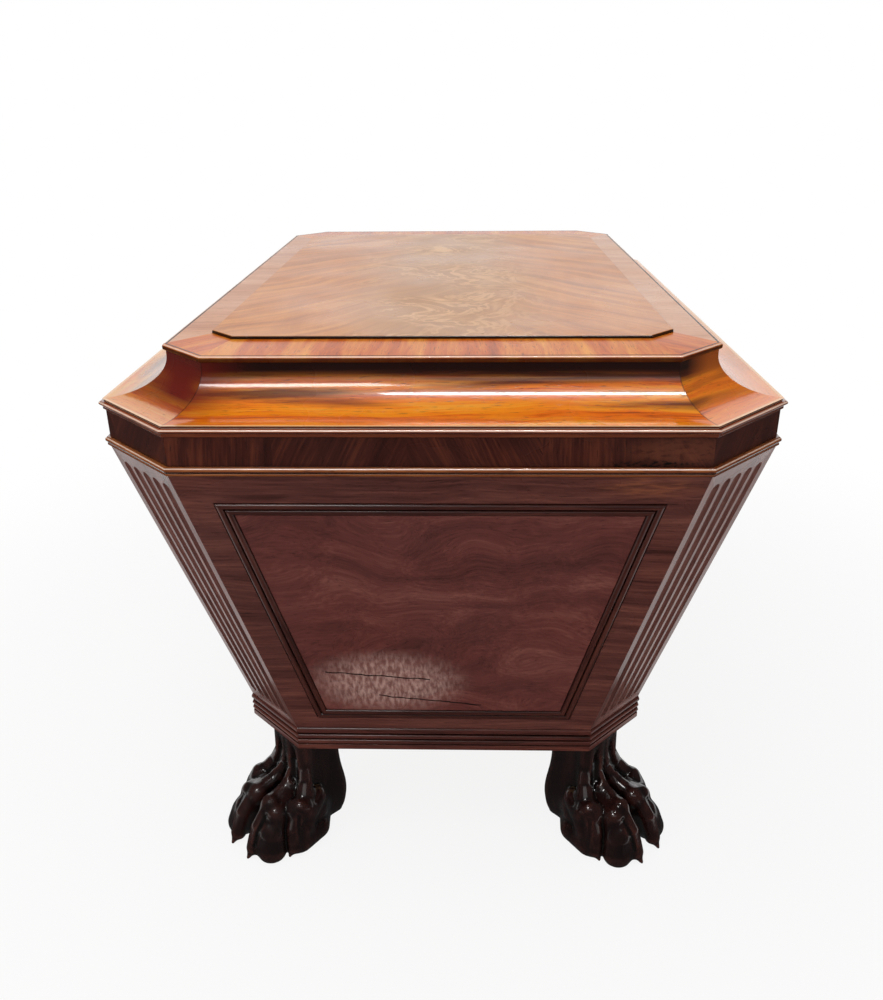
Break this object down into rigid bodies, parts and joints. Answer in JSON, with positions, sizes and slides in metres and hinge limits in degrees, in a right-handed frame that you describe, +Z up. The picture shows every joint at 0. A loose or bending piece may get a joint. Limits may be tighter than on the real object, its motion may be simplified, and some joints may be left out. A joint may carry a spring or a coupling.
{
  "type": "cellarette",
  "caption": "Eight-sided tapered wooden wine cooler with a cavetto-moulded hinged lid, fluted cut corners and carved paw feet.",
  "frame": {"origin": "on the floor under the middle of the piece", "axes": "+X along the long axis, -Y towards the front with the lock, +Y towards the hinges, +Z up"},
  "size_m": [0.77, 0.52, 0.4906],
  "materials": {
    "flame_mahogany": "French polished, flame figure",
    "crossbanding": "French polished, cross grain",
    "cavetto_mahogany": "French polished",
    "bead_mahogany": "French polished",
    "frieze_veneer": "French polished, cross grain",
    "wall_veneer": "French polished, flame figure",
    "mahogany": "French polished",
    "carved_mahogany": "carved and polished, dark with age",
    "secondary_wood": "plain sawn",
    "brass": "aged",
    "steel": "plain",
    "zinc": "dull rolled sheet"
  },
  "bodies": {
    "carcase": {"back_wall_frame": "mahogany", "back_wall_moulding": "mahogany", "back_wall_panel": "wall_veneer", "base_moulding_corners": "mahogany", "base_moulding_ends": "mahogany", "base_moulding_sides": "mahogany", "bottom_board": "secondary_wood", "corner_post_back_left": "mahogany", "corner_post_back_right": "mahogany", "corner_post_front_left": "mahogany", "corner_post_front_right": "mahogany", "divider_cross_slats": "secondary_wood", "divider_long_slats": "secondary_wood", "foot_tenons": "secondary_wood", "frieze_back": "frieze_veneer", "frieze_corners": "frieze_veneer", "frieze_ends": "frieze_veneer", "frieze_front": "frieze_veneer", "front_wall_frame": "mahogany", "front_wall_moulding": "mahogany", "front_wall_panel": "wall_veneer", "hinge_leaves_carcase": "brass", "hinge_pins": "brass", "hinge_screws_carcase": "brass", "left_end_frame": "mahogany", "left_end_moulding": "mahogany", "left_end_panel": "wall_veneer", "liner": "zinc", "lock_case": "brass", "lock_escutcheon": "brass", "lock_spring": "steel", "lower_bead_corners": "bead_mahogany", "lower_bead_ends": "bead_mahogany", "lower_bead_sides": "bead_mahogany", "paw_foot_back_left": "carved_mahogany", "paw_foot_back_right": "carved_mahogany", "paw_foot_front_left": "carved_mahogany", "paw_foot_front_right": "carved_mahogany", "right_end_frame": "mahogany", "right_end_moulding": "mahogany", "right_end_panel": "wall_veneer"},
    "lid": {"hinge_leaves_lid": "brass", "hinge_screws_lid": "brass", "lid_cavetto_corners": "cavetto_mahogany", "lid_cavetto_ends": "cavetto_mahogany", "lid_cavetto_sides": "cavetto_mahogany", "lid_crossband_corners": "crossbanding", "lid_crossband_ends": "crossbanding", "lid_crossband_sides": "crossbanding", "lid_flame_panel": "flame_mahogany", "lid_ground_board": "secondary_wood", "lid_lip_corners": "bead_mahogany", "lid_lip_ends": "bead_mahogany", "lid_lip_sides": "bead_mahogany", "link_plate_screws": "brass", "lock_link_plate": "brass"},
    "bolt": {"lock_bolt": "steel"}
  },
  "joints": [
    {"name": "lid_hinge", "type": "hinge", "parent": "carcase", "child": "lid", "pos_m": [0, 0.257, 0.4424], "axis": [-1, 0, 0], "range_deg": [0, 95]},
    {"name": "bolt_slide", "type": "slide", "parent": "carcase", "child": "bolt", "axis": [1, 0, 0], "range_m": [0, 0.007]}
  ]
}
